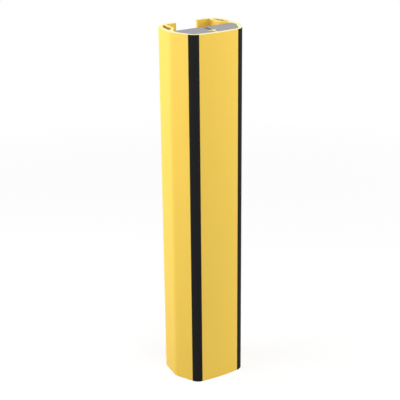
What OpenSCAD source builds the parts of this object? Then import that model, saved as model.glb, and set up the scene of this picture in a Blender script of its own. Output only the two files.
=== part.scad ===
// Rack column guard: a length of extrusion that clips round the column of a storage rack.
// The shell has a bowed front, flared sides, two hollow rear cells and two flanges that hook behind the column.
// A foam pad lines each half of the front, keyed under a T-rib, and a stripe is let into each front corner.
// The section lies in X and Y with the front towards -Y, and the guard stands on Z = 0.

/* [Outer form] */
// Height of the guard
height = 600; // [150:10:1200]
// Depth from the crown of the front face to the rear face
depth = 103; // [98:0.5:125]
// Distance across the front from each end of the bowed face to the widest place of that side
flank_w = 28.1; // [25:0.1:34]
// How far the front face bows out
face_bow = 2.2; // [1:0.1:4]
// Radius of the front corners that carry the stripes
corner_r = 16.8; // [13:0.2:21]
// Angle of the flared sides, measured from the straight-back direction
flare = 26; // [22:0.5:32]
// Radius of the shoulder where each side is widest
shoulder_r = 18; // [10:0.5:24]
// Inward lean of the sides behind the shoulder
lean = 5.6; // [3:0.1:9]
// Radius of the rear corners
rear_r = 28.5; // [22:0.5:32]

/* [Walls] */
// Thickness of the outer wall and of the flanges
wall = 6.5; // [4:0.25:8]
// Clear width for the column between the flat parts of the webs
channel_w = 81; // [60:0.5:120]
// Distance from the column to the widest place outside, on each side
hook_w = 23.4; // [21:0.1:30]
// Thickness of the webs that close the rear cells
web_t = 4; // [3:0.25:7]
// Length of the flat part of each web in front of its flange
web_flat = 21; // [14:0.5:28]
// Radius of the bend from the flat part of each web towards the flank
web_r = 24; // [20:0.5:30]
// Radius of the hollow that leads from that bend into the flank
sweep_r = 22; // [12:0.5:30]
// Fillet between each web and its flange
fillet_r = 2; // [1:0.25:4]
// Width of the rear slot between the flange tips
slot_w = 39.5; // [24:0.5:54]
// Rounding of the flange tips
tip_r = 1.5; // [0.5:0.25:2]

/* [Rib] */
// Thickness of the T-rib's stem and head
rib_t = 3; // [2:0.25:4]
// Width of the T-rib's head
rib_head = 13; // [9:0.5:20]
// How far the T-rib stands in from the front wall
rib_depth = 16; // [10:0.5:22]

/* [Foam] */
// Distance from the crown of the front face to the rear face of the foam
foam_reach = 48.6; // [34:0.2:54]
// Gap between the two foam pads behind the T-rib
crease = 5.4; // [1:0.1:8]
// Clearance between the foam and the shell
foam_gap = 0.3; // [0.1:0.05:0.8]

/* [Stripes] */
// Thickness of the stripes
stripe_t = 1.2; // [0.8:0.1:2]
// How far each stripe runs past the rounding of its corner, on both sides
stripe_lap = 0.6; // [0.6:0.1:3]
// Clearance round each stripe in its recess
stripe_gap = 0.05; // [0.05:0.05:0.3]

/* [Hidden] */
$fn = 180;
// How far a rounding stands proud of the faces beside it, so that the two cross cleanly
seam = 0.01;
// Spare length of cutting shapes
spare = 1;

// Widths that follow from the column
width = channel_w + 2 * hook_w;
face_w = width - 2 * flank_w;

// Places along Y
front_y = -depth / 2;
rear_y = depth / 2;
flange_y = rear_y - wall;
front_wall_y = front_y + wall;
rib_tip_y = front_wall_y + rib_depth;

// Bowed front face: slope at its ends, radius and centre
face_slope = 2 * atan(2 * face_bow / face_w);
face_r = face_w / 2 / sin(face_slope);
face_c = [0, front_y + face_r];

// Front corner, tangent to the bowed face
corner_c = face_c + (face_r - corner_r) * heading(face_slope - 90);

// Shoulder, tangent to the flared side and as wide as the guard
shoulder_x = width / 2 - shoulder_r;
shoulder_rise = ((shoulder_x - corner_c[0]) * cos(flare) - corner_r + shoulder_r) / sin(flare);
shoulder_c = [shoulder_x, corner_c[1] + shoulder_rise];

// Rear corner, tangent to the leaning side and to the rear face
rear_c_y = rear_y - rear_r;
rear_run = (shoulder_r - rear_r - (rear_c_y - shoulder_c[1]) * sin(lean)) / cos(lean);
rear_c = [shoulder_c[0] + rear_run, rear_c_y];

// Roundings of the outline, each [centre, radius, start angle, end angle], right side then left
right_arcs = [
    [corner_c, corner_r, face_slope - 90, -flare],
    [shoulder_c, shoulder_r, -flare, lean],
    [rear_c, rear_r, lean, 90],
];
left_arcs = [for (i = [len(right_arcs) - 1:-1:0]) mirrored(right_arcs[i])];
arcs = concat(right_arcs, left_arcs);

// Bend of the right web, and the hollow tangent to that bend and to the inside of the flared wall
web_c = [channel_w / 2 + web_r, flange_y - web_flat];
sweep_away = (web_c - corner_c) * heading(-flare) - corner_r + wall + sweep_r;
sweep_down = sqrt(pow(web_r + sweep_r, 2) - pow(sweep_away, 2));
sweep_c = web_c - sweep_away * heading(-flare) - sweep_down * heading(90 - flare);

// Fillet tangent to the flat of the right web and to the inside of its flange, flat or round
fillet_x = channel_w / 2 - fillet_r;
fillet_away = max(0, fillet_x - rear_c[0]);
fillet_c = [fillet_x, rear_c_y + sqrt(pow(rear_r - wall - fillet_r, 2) - pow(fillet_away, 2))];

// Unit vector at an angle from +X
function heading(angle) = [cos(angle), sin(angle)];

// Angle of a vector from +X
function bearing(v) = atan2(v[1], v[0]);

// The same rounding on the other side of the centre line
function mirrored(arc) = [[-arc[0][0], arc[0][1]], arc[1], 180 - arc[3], 180 - arc[2]];

// Point of a rounding at one of its angles, moved inwards by inset
function arc_point(arc, angle, inset) = arc[0] + (arc[1] - inset) * heading(angle);

// A shape and its mirror image about the centre line
module both_sides() {
    children();
    mirror([1, 0, 0]) children();
}

// Round part of a corner, from a little inside its chord outwards
module corner_cap(arc, inset) {
    r = arc[1] - inset;
    half_angle = (arc[3] - arc[2]) / 2;
    half_chord = r * sin(half_angle) + spare;
    translate(arc[0])
        rotate((arc[2] + arc[3]) / 2)
            intersection() {
                circle(r + seam);
                translate([r * cos(half_angle) - spare, -half_chord])
                    square([r, 2 * half_chord]);
            }
}

// Bowed part of the front, reaching back into the rest of the outline
module front_crown(inset) {
    r = face_r - inset;
    half_face = r * sin(face_slope);
    intersection() {
        translate(face_c) circle(r);
        translate([-half_face, face_c[1] - r - spare])
            square([2 * half_face, r * (1 - cos(face_slope)) + 2 * spare]);
    }
}

// The outer outline moved inwards by inset, filled
module outline(inset = 0) {
    polygon([for (arc = arcs) each [arc_point(arc, arc[2], inset), arc_point(arc, arc[3], inset)]]);
    front_crown(inset);
    for (arc = arcs) corner_cap(arc, inset);
}

// Everything outside the face of the right web, moved towards the column by grow
module web_block(grow = 0) {
    r = web_r + grow;
    translate(web_c) circle(r + seam);
    translate(web_c - [r, 0]) square([width, depth]);
}

// Filling outside a hollow about the origin, between two of its directions
module hollow_fill(r, from, to) {
    reach = 3 * r;
    difference() {
        polygon([[0, 0], reach * heading(from), reach * heading(to)]);
        circle(r + seam);
    }
}

// Filling between the right web and its flank, moved towards the column by grow
module web_sweep(grow = 0) {
    translate(sweep_c) hollow_fill(sweep_r - grow, -flare, bearing(web_c - sweep_c));
}

// Filling in the corner between the right web and its flange
module web_fillet() {
    translate(fillet_c) hollow_fill(fillet_r, 0, bearing(fillet_c - rear_c));
}

// Waste outside the rounding of a square corner at the origin, which fills the first quadrant
module corner_waste(r) {
    difference() {
        translate([-spare, -spare]) square(r + spare);
        translate([r, r]) circle(r + seam);
    }
}

// T-rib inside the front wall, rooted in the middle of the wall and grown on all sides by grow
module rib(grow = 0) {
    root_y = front_wall_y - wall / 2;
    translate([-rib_t / 2 - grow, root_y])
        square([rib_t + 2 * grow, rib_tip_y - root_y]);
    translate([-rib_head / 2 - grow, rib_tip_y - rib_t - grow])
        square([rib_head + 2 * grow, rib_t + 2 * grow]);
}

// Rear slot with rounded flange tips
module rear_slot() {
    translate([-slot_w / 2, flange_y - spare])
        square([slot_w, wall + 2 * spare]);
    both_sides() {
        translate([slot_w / 2, flange_y]) corner_waste(tip_r);
        translate([slot_w / 2, rear_y]) mirror([0, 1, 0]) corner_waste(tip_r);
    }
}

// Sector that the right stripe takes up, narrowed at each side by gap
module stripe_sector(gap = 0) {
    lap_angle = atan((stripe_lap - gap) / corner_r);
    reach = 2 * corner_r;
    translate(corner_c)
        polygon([
            [0, 0],
            reach * heading(face_slope - 90 - lap_angle),
            reach * heading(lap_angle - flare),
        ]);
}

// Recess for the right stripe
module stripe_recess() {
    difference() {
        stripe_sector();
        translate(corner_c) circle(corner_r - stripe_t);
    }
}

// Space inside the shell for the foam and the column
module cavity() {
    difference() {
        outline(wall);
        both_sides() {
            web_block();
            web_sweep();
            web_fillet();
        }
        rib();
    }
}

// Hollow cell behind the right web
module cell() {
    intersection() {
        outline(wall);
        web_block(-web_t);
    }
}

// Section of the shell
module shell_section() {
    difference() {
        outline();
        cavity();
        rear_slot();
        both_sides() {
            cell();
            stripe_recess();
        }
    }
}

// Section of the right stripe
module stripe_section() {
    difference() {
        intersection() {
            translate(corner_c) circle(corner_r + seam);
            stripe_sector(stripe_gap);
        }
        translate(corner_c) circle(corner_r - stripe_t + stripe_gap);
    }
}

// Section of the right foam pad
module foam_section() {
    difference() {
        intersection() {
            outline(wall + foam_gap);
            translate([0, front_y]) square([width, foam_reach]);
        }
        rib(foam_gap);
        translate([-spare, rib_tip_y - rib_t / 2]) square([crease / 2 + spare, depth]);
        web_block(foam_gap);
        web_sweep(foam_gap);
    }
}

module shell() {
    color("gold")
        linear_extrude(height)
            shell_section();
}

module stripe_right() {
    color("black")
        linear_extrude(height)
            stripe_section();
}

module stripe_left() {
    mirror([1, 0, 0]) stripe_right();
}

module foam_right() {
    color("darkgray")
        linear_extrude(height)
            foam_section();
}

module foam_left() {
    mirror([1, 0, 0]) foam_right();
}

shell();
stripe_left();
stripe_right();
foam_left();
foam_right();
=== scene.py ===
"""Rack column guard: softened shell, corner stripes, foam pads, their finishes and a plain studio."""
import math
from typing import NamedTuple

import bmesh
import bpy
from mathutils import Matrix, Vector, noise


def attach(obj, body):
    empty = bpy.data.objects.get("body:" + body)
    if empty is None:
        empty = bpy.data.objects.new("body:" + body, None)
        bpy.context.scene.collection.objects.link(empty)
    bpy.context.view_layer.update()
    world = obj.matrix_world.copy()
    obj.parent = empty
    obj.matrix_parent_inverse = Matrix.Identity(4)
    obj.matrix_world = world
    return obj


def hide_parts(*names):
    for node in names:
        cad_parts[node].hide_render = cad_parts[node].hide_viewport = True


bl_info = {
    "name": "Rack Column Guard",
    "version": (1, 0, 0),
    "blender": (4, 5, 0),
    "location": "3D View > Sidebar > Guard",
    "description": "Dresses a rack column guard and sets it in a plain studio",
    "category": "Object",
}

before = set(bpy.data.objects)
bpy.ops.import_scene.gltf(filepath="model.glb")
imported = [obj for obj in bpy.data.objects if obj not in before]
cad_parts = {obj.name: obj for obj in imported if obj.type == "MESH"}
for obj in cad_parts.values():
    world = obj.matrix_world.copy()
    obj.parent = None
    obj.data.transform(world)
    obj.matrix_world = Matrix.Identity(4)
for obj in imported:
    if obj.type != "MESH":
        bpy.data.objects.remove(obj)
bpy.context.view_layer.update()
BODY = "root"
SIDES = ("left", "right")
MM = 0.001

# Closeness at which points of a solid's copy are one, and the turn at which two faces are one
MERGE_DISTANCE = 0.005 * MM
FLAT_ANGLE = math.radians(0.2)
# Turn past which an edge is rounded, and past which its shading breaks
SHARP_ANGLE = math.radians(30)
CRISP_ANGLE = math.radians(35)
# Facets across a rounded edge of the plastic, and of the foam
PLASTIC_FACETS = 2
FOAM_FACETS = 3
# Width of the swells in the foam's faces, in steps between its cuts
FOAM_SWELL = 3
# How far a face's normal has to point up or down, out of 1, for the face to be a sawn end
END_UPRIGHT = 0.8
# Sizes of the patterns in the finishes, in millimetres along each axis
DIE_LINES = (2.4, 2.4, 830)
COLOUR_CLOUD = (56, 56, 140)
PLASTIC_GRAIN = (0.7, 0.7, 0.7)
SAW_MARKS = (6, 0.4, 6)
STRIPE_LINES = (1.7, 1.7, 670)
STRIPE_GRAIN = (0.6, 0.6, 0.6)
FOAM_CELLS = (1.1, 1.1, 1.1)
FOAM_MOTTLE = (11, 11, 11)
# Octaves of the noise behind drawn lines and mottle
FINE_DETAIL = 3.0
# Sockets of a Mix node that carry colour
COLOUR_A, COLOUR_B, COLOUR_RESULT = 6, 7, 2
WHITE = (1.0, 1.0, 1.0, 1.0)
FLOOR_SIDES = 64


class GuardSizes(bpy.types.PropertyGroup):
    """Sizes that the dressing adds to the solids."""

    shell_edge: bpy.props.FloatProperty(
        name="Shell Edge", description="Rounding of the shell's edges",
        default=0.2 * MM, min=0, subtype="DISTANCE")
    stripe_edge: bpy.props.FloatProperty(
        name="Stripe Edge", description="Rounding of the stripes' edges",
        default=0.12 * MM, min=0, subtype="DISTANCE")
    foam_edge: bpy.props.FloatProperty(
        name="Foam Edge", description="Rounding of the foam pads' edges",
        default=0.5 * MM, min=0, subtype="DISTANCE")
    foam_step: bpy.props.FloatProperty(
        name="Foam Step", description="Distance between the cuts that let the foam's faces wander",
        default=8 * MM, min=1 * MM, subtype="DISTANCE")
    foam_unevenness: bpy.props.FloatProperty(
        name="Foam Unevenness", description="How far the foam's faces sink in from flat",
        default=0.4 * MM, min=0, subtype="DISTANCE")


class GuardColours(bpy.types.PropertyGroup):
    """Colours of the finishes."""

    yellow: bpy.props.FloatVectorProperty(
        name="Yellow", description="Colour of the extruded plastic",
        default=(0.82, 0.555, 0.081), subtype="COLOR", size=3, min=0, max=1)
    # Paler yellow of the sawn ends: partly the look of sawn plastic, partly a painted highlight of the
    # light from above
    sawn_highlight_yellow: bpy.props.FloatVectorProperty(
        name="Cut Yellow", description="Colour of the sawn ends of the plastic",
        default=(0.75, 0.72, 0.42), subtype="COLOR", size=3, min=0, max=1)
    black: bpy.props.FloatVectorProperty(
        name="Black", description="Colour of the corner stripes",
        default=(0.0165, 0.0165, 0.017), subtype="COLOR", size=3, min=0, max=1)
    foam: bpy.props.FloatVectorProperty(
        name="Foam", description="Colour of the foam",
        default=(0.27, 0.262, 0.278), subtype="COLOR", size=3, min=0, max=1)


class GuardStage(bpy.types.PropertyGroup):
    """Camera at the photograph's viewing angle, soft light and floor."""

    azimuth: bpy.props.FloatProperty(
        name="Azimuth", description="Angle of the camera round the guard, from straight in front",
        default=math.radians(-31.186), subtype="ANGLE")
    elevation: bpy.props.FloatProperty(
        name="Elevation", description="Angle of the camera above the level",
        default=math.radians(21.3345), subtype="ANGLE")
    roll: bpy.props.FloatProperty(
        name="Roll", description="Turn of the camera about its own line of sight",
        default=math.radians(-0.586), subtype="ANGLE")
    distance: bpy.props.FloatProperty(
        name="Distance", description="Distance from the camera to the point it looks at",
        default=1.79285, min=0, subtype="DISTANCE")
    target: bpy.props.FloatVectorProperty(
        name="Target", description="Point that the camera looks at",
        default=(0.00731, 0.02333, 0.29996), subtype="TRANSLATION", size=3)
    lens: bpy.props.FloatProperty(
        name="Lens", description="Focal length of the camera",
        default=95.8878, min=1, subtype="DISTANCE_CAMERA")
    sensor: bpy.props.FloatProperty(
        name="Sensor", description="Width of the camera's sensor",
        default=36, min=1, subtype="DISTANCE_CAMERA")
    ambient: bpy.props.FloatProperty(
        name="Ambient", description="Strength of the even light from all round",
        default=0.256, min=0)
    floor_reach: bpy.props.FloatProperty(
        name="Floor Reach", description="Distance from the guard to the edge of the floor",
        default=8, min=0, subtype="DISTANCE")
    floor: bpy.props.FloatVectorProperty(
        name="Floor", description="Colour of the floor where it is seen",
        default=(0.9, 0.9, 0.9), subtype="COLOR", size=3, min=0, max=1)
    floor_bounce: bpy.props.FloatVectorProperty(
        name="Floor Bounce", description="Colour of the floor in the light that it throws on the guard",
        default=(0.45, 0.45, 0.45), subtype="COLOR", size=3, min=0, max=1)
    floor_white: bpy.props.FloatProperty(
        name="Floor White", description="Share of plain white in the floor beside the guard",
        default=0.8, min=0, max=1, subtype="FACTOR")
    white_from: bpy.props.FloatProperty(
        name="White From", description="Distance from the guard at which the floor starts to turn white",
        default=0.5, min=0, subtype="DISTANCE")
    white_to: bpy.props.FloatProperty(
        name="White To", description="Distance from the guard at which the floor is all white",
        default=1.5, min=0, subtype="DISTANCE")


class Signal:
    """A shader socket whose arithmetic adds Math nodes."""

    def __init__(self, finish, socket):
        self.finish = finish
        self.socket = socket

    def math(self, operation, *others):
        """A Math node fed with this signal and then the others."""
        sockets = dict(enumerate((self, *others)))
        return self.finish.add("ShaderNodeMath", {"operation": operation}, sockets)

    def __add__(self, other):
        return self.math("ADD", other)

    __radd__ = __add__

    def __rsub__(self, other):
        return self.math("MULTIPLY_ADD", -1.0, other)

    def __mul__(self, other):
        return self.math("MULTIPLY", other)

    def __gt__(self, other):
        return self.math("GREATER_THAN", other)

    def __abs__(self):
        return self.math("ABSOLUTE")

    def between(self, low, high):
        """0 where this signal is at or under low, 1 at or over high, even in between."""
        sockets = {"Value": self, "From Min": low, "From Max": high}
        return self.finish.add("ShaderNodeMapRange", {"clamp": True}, sockets)


class Finish:
    """A node tree under construction, for a material or the world."""

    def __init__(self, owner):
        owner.use_nodes = True
        self.owner = owner
        self.tree = owner.node_tree

    def feed(self, socket, value):
        """Links a signal to a socket, or sets the socket's own value."""
        if isinstance(value, Signal):
            self.tree.links.new(value.socket, socket)
        else:
            socket.default_value = value

    def add(self, kind, settings=(), sockets=(), output=0):
        """Adds a node, makes its settings, fills its sockets and returns one of its outputs, if any."""
        node = self.tree.nodes.new(kind)
        for name, value in dict(settings).items():
            setattr(node, name, value)
        for key, value in dict(sockets).items():
            self.feed(node.inputs[key], value)
        return Signal(self, node.outputs[output]) if node.outputs else None

    def shade(self, **sockets):
        """Fills sockets of the material's Principled shader, named with underscores for spaces."""
        shader = self.tree.nodes["Principled BSDF"]
        for name, value in sockets.items():
            self.feed(shader.inputs[name.replace("_", " ")], value)

    def mix(self, factor, first, second):
        """One colour turning into another as factor goes from 0 to 1."""
        return self.add(
            "ShaderNodeMix", {"data_type": "RGBA"},
            {"Factor": factor, COLOUR_A: first, COLOUR_B: second}, output=COLOUR_RESULT)

    def vary(self, factor, colour, spread):
        """A colour going from a share darker to the same share lighter as factor goes from 0 to 1."""
        darker, lighter = (
            opaque([min(1.0, level * change) for level in colour])
            for change in (1 - spread, 1 + spread))
        return self.mix(factor, darker, lighter)

    def place(self, size):
        """Object coordinates counted in steps of a size in millimetres along each axis."""
        here = self.add("ShaderNodeTexCoord", output="Object")
        scale = [1 / (step * MM) for step in size]
        return self.add("ShaderNodeMapping", sockets={"Vector": here, "Scale": scale})

    def noise(self, size, detail=2.0):
        """Noise with features of a size in millimetres along each axis."""
        sockets = {"Vector": self.place(size), "Scale": 1.0, "Detail": detail}
        return self.add("ShaderNodeTexNoise", sockets=sockets)

    def bump(self, height, strength, distance):
        """A normal bent by a height."""
        sockets = {"Height": height, "Strength": strength, "Distance": distance}
        return self.add("ShaderNodeBump", sockets=sockets)

    def cut_end(self):
        """1 on the faces that look straight up or down, 0 elsewhere."""
        normal = self.add("ShaderNodeTexCoord", output="Normal")
        upright = self.add("ShaderNodeSeparateXYZ", sockets={"Vector": normal}, output="Z")
        return abs(upright) > END_UPRIGHT


def opaque(colour):
    """A colour property as a shader socket takes it."""
    return (*colour, 1.0)


def yellow_plastic(colours):
    """Satin extruded plastic with faint die lines, rougher where it was sawn, and paler there: partly
    the look of sawn plastic, partly a painted highlight.
    """
    finish = Finish(bpy.data.materials.new("yellow_plastic"))
    die_lines = finish.noise(DIE_LINES, detail=FINE_DETAIL)
    cloud = finish.noise(COLOUR_CLOUD)
    grain = finish.noise(PLASTIC_GRAIN)
    saw_marks = finish.noise(SAW_MARKS)
    cut = finish.cut_end()
    drawn = finish.vary(cloud * 0.5 + die_lines * 0.5, colours.yellow, spread=0.04)
    # The sawn ends take a paler yellow that is partly a painted highlight
    sawn = finish.vary(saw_marks, colours.sawn_highlight_yellow, spread=0.12)
    relief = die_lines * (1 - cut) * 0.6 + grain * 0.15 + saw_marks * cut
    finish.shade(
        Base_Color=finish.mix(cut, drawn, sawn),
        Roughness=0.4 + die_lines * 0.12 + cut * 0.2,
        Normal=finish.bump(relief, strength=0.35, distance=0.06 * MM),
        Specular_IOR_Level=0.22)
    return finish.owner


def black_plastic(colours):
    """Satin black strip with faint lines along its length."""
    finish = Finish(bpy.data.materials.new("black_plastic"))
    lines = finish.noise(STRIPE_LINES, detail=FINE_DETAIL)
    grain = finish.noise(STRIPE_GRAIN)
    finish.shade(
        Base_Color=finish.vary(lines, colours.black, spread=0.25),
        Roughness=0.42 + lines * 0.14,
        Normal=finish.bump(lines * 0.7 + grain * 0.3, strength=0.3, distance=0.05 * MM),
        Specular_IOR_Level=0.02)
    return finish.owner


def grey_foam(colours):
    """Cut closed-cell foam: small cells, pale cell walls and a soft mottle."""
    finish = Finish(bpy.data.materials.new("grey_foam"))
    cells = finish.add(
        "ShaderNodeTexVoronoi", {"feature": "F1"},
        {"Vector": finish.place(FOAM_CELLS), "Scale": 1.0}, output="Distance")
    mottle = finish.noise(FOAM_MOTTLE, detail=FINE_DETAIL)
    finish.shade(
        Base_Color=finish.vary(cells * 0.7 + mottle * 0.3, colours.foam, spread=0.15),
        Roughness=0.95 - cells * 0.1,
        Normal=finish.bump(cells * 0.8 + mottle * 0.4, strength=0.5, distance=0.25 * MM),
        IOR=1.4)
    return finish.owner


def merged_copy(node):
    """A CAD node's mesh as a bmesh with its loose triangles joined into whole faces."""
    bm = bmesh.new()
    bm.from_mesh(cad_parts[node].data)
    bmesh.ops.remove_doubles(bm, verts=bm.verts, dist=MERGE_DISTANCE)
    bmesh.ops.dissolve_limit(
        bm, angle_limit=FLAT_ANGLE, verts=bm.verts, edges=bm.edges, use_dissolve_boundaries=False)
    return bm


def round_edges(bm, width, segments):
    """Rounds every sharp edge."""
    sharp = [
        edge for edge in bm.edges
        if edge.is_manifold and edge.calc_face_angle() > SHARP_ANGLE]
    bmesh.ops.bevel(
        bm, geom=sharp, offset=width, offset_type="OFFSET", affect="EDGES",
        segments=segments, profile=0.5, material=-1, clamp_overlap=True)


def cut_across(bm, axis, step):
    """Cuts every face at even steps along an axis."""
    places = [vert.co[axis] for vert in bm.verts]
    normal = Vector((0, 0, 0))
    normal[axis] = 1
    for count in range(math.ceil(min(places) / step), math.floor(max(places) / step) + 1):
        bmesh.ops.bisect_plane(
            bm, geom=[*bm.verts, *bm.edges, *bm.faces], dist=MERGE_DISTANCE,
            plane_co=normal * step * count, plane_no=normal)


def put_in_order(parts, key):
    """Sorts points, edges or faces by a key and numbers them anew."""
    rank = {part: count for count, part in enumerate(sorted(parts, key=key))}
    parts.sort(key=rank.get)
    parts.index_update()


def settle_order(bm):
    """Puts all parts in order of place, because cuts leave them in another order each run."""
    put_in_order(bm.verts, lambda vert: vert.co[:])
    for parts in (bm.edges, bm.faces):
        put_in_order(parts, lambda part: sorted(vert.index for vert in part.verts))


def sink_unevenly(bm, depth, spread):
    """Lets the faces wander inwards by up to a depth, in swells about as wide as spread."""
    bm.normal_update()
    for vert in bm.verts:
        swell = 0.5 + 0.5 * noise.noise(vert.co / spread)
        vert.co -= vert.normal * depth * max(0.0, min(1.0, swell))


def add_piece(bm, name, node, material):
    """Makes a piece of the guard from a bmesh, in place of a CAD node."""
    mesh = bpy.data.meshes.new(name)
    bm.to_mesh(mesh)
    bm.free()
    mesh.shade_smooth()
    mesh.set_sharp_from_angle(angle=CRISP_ANGLE)
    mesh.materials.append(material)
    piece = bpy.data.objects.new(name, mesh)
    bpy.context.scene.collection.objects.link(piece)
    piece.modifiers.new("Even Shading", "WEIGHTED_NORMAL").keep_sharp = True
    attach(piece, BODY)
    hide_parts(node)
    return piece


class GUARD_OT_shell(bpy.types.Operator):
    """Makes the yellow shell with its edges softened"""

    bl_idname = "guard.shell"
    bl_label = "Shell"

    def execute(self, context):
        bm = merged_copy("shell")
        round_edges(bm, context.scene.guard_sizes.shell_edge, segments=PLASTIC_FACETS)
        material = yellow_plastic(context.scene.guard_colours)
        add_piece(bm, "guard_shell", "shell", material)
        return {"FINISHED"}


class GUARD_OT_stripes(bpy.types.Operator):
    """Makes the two black stripes let into the front corners"""

    bl_idname = "guard.stripes"
    bl_label = "Stripes"

    def execute(self, context):
        material = black_plastic(context.scene.guard_colours)
        for side in SIDES:
            bm = merged_copy(f"stripe_{side}")
            round_edges(bm, context.scene.guard_sizes.stripe_edge, segments=PLASTIC_FACETS)
            add_piece(bm, f"corner_stripe_{side}", f"stripe_{side}", material)
        return {"FINISHED"}


class GUARD_OT_foam(bpy.types.Operator):
    """Makes the two foam pads that line the front"""

    bl_idname = "guard.foam"
    bl_label = "Foam Pads"

    def execute(self, context):
        sizes = context.scene.guard_sizes
        material = grey_foam(context.scene.guard_colours)
        for side in SIDES:
            bm = merged_copy(f"foam_{side}")
            round_edges(bm, sizes.foam_edge, segments=FOAM_FACETS)
            for axis in range(3):
                cut_across(bm, axis, sizes.foam_step)
            settle_order(bm)
            sink_unevenly(bm, sizes.foam_unevenness, spread=FOAM_SWELL * sizes.foam_step)
            piece = add_piece(bm, f"foam_pad_{side}", f"foam_{side}", material)
        return {"FINISHED"}


class Lamp(NamedTuple):
    """A square soft lamp, with its power in watts."""

    name: str
    place: tuple
    aim: tuple
    size: float
    power: float


LAMPS = (
    Lamp("side_lamp", place=(-1.1, 0.15, 0.75), aim=(0, 0, 0.5), size=0.5, power=6.8),
    Lamp("rear_side_lamp", place=(-0.9, 0.65, 0.7), aim=(0, 0, 0.5), size=0.5, power=7.9),
    Lamp("front_lamp", place=(0.9, -1.8, 1.2), aim=(0, 0, 0.3), size=2.2, power=28.3),
    Lamp("right_lamp", place=(2.0, -1.0, 1.3), aim=(0, 0, 0.3), size=1.0, power=17.0),
    Lamp("top_lamp", place=(0, -0.4, 1.8), aim=(0, 0, 0.6), size=1.2, power=13.7),
)


def facing(direction):
    """The turn that points a camera or a lamp in a direction, upright."""
    return direction.to_track_quat("-Z", "Y").to_matrix().to_4x4()


def add_camera(stage):
    """The camera at the photograph's place and angle."""
    back = Vector((
        math.sin(stage.azimuth) * math.cos(stage.elevation),
        -math.cos(stage.azimuth) * math.cos(stage.elevation),
        math.sin(stage.elevation)))
    data = bpy.data.cameras.new("camera")
    data.sensor_width = stage.sensor
    data.lens = stage.lens
    camera = bpy.data.objects.new("camera", data)
    place = Matrix.Translation(stage.target + back * stage.distance)
    camera.matrix_world = place @ facing(-back) @ Matrix.Rotation(stage.roll, 4, "Z")
    bpy.context.scene.collection.objects.link(camera)
    bpy.context.scene.camera = camera


def add_lamp(lamp):
    """A soft lamp in its place, turned to what it lights."""
    data = bpy.data.lights.new(lamp.name, "AREA")
    data.size = lamp.size
    data.energy = lamp.power
    light = bpy.data.objects.new(lamp.name, data)
    place = Vector(lamp.place)
    light.matrix_world = Matrix.Translation(place) @ facing(Vector(lamp.aim) - place)
    bpy.context.scene.collection.objects.link(light)


def seen_directly(finish):
    """1 for camera, glossy and transmission rays, 0 for the light that falls on surfaces."""
    seen = 0.0
    for ray in ("Is Camera Ray", "Is Glossy Ray", "Is Transmission Ray"):
        seen = finish.add("ShaderNodeLightPath", output=ray).math("MAXIMUM", seen)
    return seen


def add_world(ambient):
    """An even soft light, and a white backdrop where it is seen."""
    world = bpy.data.worlds.new("studio")
    bpy.context.scene.world = world
    finish = Finish(world)
    finish.tree.nodes.clear()
    light = finish.add("ShaderNodeBackground", sockets={"Color": WHITE, "Strength": ambient})
    white = finish.add("ShaderNodeBackground", sockets={"Color": WHITE, "Strength": 1.0})
    blend = finish.add("ShaderNodeMixShader", sockets={0: seen_directly(finish), 1: light, 2: white})
    finish.add("ShaderNodeOutputWorld", sockets={"Surface": blend})


def pale_floor(stage):
    """Plain pale floor that keeps a soft shadow near the guard and is clear white further out."""
    finish = Finish(bpy.data.materials.new("pale_floor"))
    finish.tree.nodes.clear()
    bounce = finish.add("ShaderNodeBsdfDiffuse", sockets={"Color": opaque(stage.floor_bounce)})
    pale = finish.add("ShaderNodeBsdfDiffuse", sockets={"Color": opaque(stage.floor)})
    white = finish.add("ShaderNodeEmission", sockets={"Color": WHITE, "Strength": 1.0})
    here = finish.add("ShaderNodeTexCoord", output="Object")
    away = finish.add("ShaderNodeVectorMath", {"operation": "LENGTH"}, {0: here}, output="Value")
    further = away.between(stage.white_from, stage.white_to)
    clear = stage.floor_white + further * (1 - stage.floor_white)
    shown = finish.add("ShaderNodeMixShader", sockets={0: clear, 1: pale, 2: white})
    blend = finish.add("ShaderNodeMixShader", sockets={0: seen_directly(finish), 1: bounce, 2: shown})
    finish.add("ShaderNodeOutputMaterial", sockets={"Surface": blend})
    return finish.owner


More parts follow.
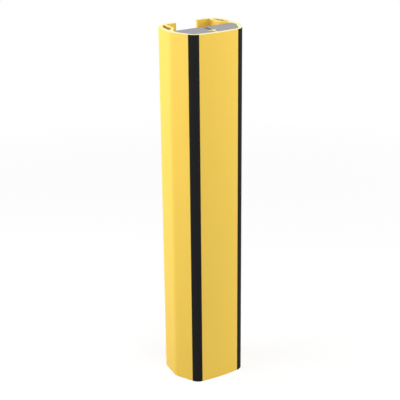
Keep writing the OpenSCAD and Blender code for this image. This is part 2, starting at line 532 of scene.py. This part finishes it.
def add_floor(stage):
    """The floor that the guard stands on."""
    bm = bmesh.new()
    bmesh.ops.create_circle(bm, cap_ends=True, radius=stage.floor_reach, segments=FLOOR_SIDES)
    mesh = bpy.data.meshes.new("floor")
    bm.to_mesh(mesh)
    bm.free()
    mesh.materials.append(pale_floor(stage))
    floor = bpy.data.objects.new("floor", mesh)
    bpy.context.scene.collection.objects.link(floor)


class GUARD_OT_stage(bpy.types.Operator):
    """Sets the camera, the lamps, the backdrop and the floor"""

    bl_idname = "guard.stage"
    bl_label = "Stage"

    def execute(self, context):
        stage = context.scene.guard_stage
        context.scene.view_settings.view_transform = "Standard"
        add_camera(stage)
        add_world(stage.ambient)
        add_floor(stage)
        for lamp in LAMPS:
            add_lamp(lamp)
        return {"FINISHED"}


class GUARD_PT_sidebar(bpy.types.Panel):
    """Lists the guard's sizes, colours, stage and operators"""

    bl_idname = "GUARD_PT_sidebar"
    bl_label = "Rack Column Guard"
    bl_space_type = "VIEW_3D"
    bl_region_type = "UI"
    bl_category = "Guard"

    def draw(self, context):
        column = self.layout.column()
        scene = context.scene
        for group in (scene.guard_sizes, scene.guard_colours, scene.guard_stage):
            for name in type(group).__annotations__:
                column.prop(group, name)
        for operator in OPERATORS:
            column.operator(operator.bl_idname)


OPERATORS = (GUARD_OT_shell, GUARD_OT_stripes, GUARD_OT_foam, GUARD_OT_stage)
CLASSES = (GuardSizes, GuardColours, GuardStage, *OPERATORS, GUARD_PT_sidebar)


def register():
    """Adds the classes and the scene's property groups."""
    for cls in CLASSES:
        bpy.utils.register_class(cls)
    bpy.types.Scene.guard_sizes = bpy.props.PointerProperty(type=GuardSizes)
    bpy.types.Scene.guard_colours = bpy.props.PointerProperty(type=GuardColours)
    bpy.types.Scene.guard_stage = bpy.props.PointerProperty(type=GuardStage)


def unregister():
    """Takes the scene's property groups and the classes away again."""
    del bpy.types.Scene.guard_stage
    del bpy.types.Scene.guard_colours
    del bpy.types.Scene.guard_sizes
    for cls in reversed(CLASSES):
        bpy.utils.unregister_class(cls)


def main():
    """Builds the guard on its stage."""
    register()
    bpy.ops.guard.shell()
    bpy.ops.guard.stripes()
    bpy.ops.guard.foam()
    bpy.ops.guard.stage()


if __name__ == "__main__":
    main()
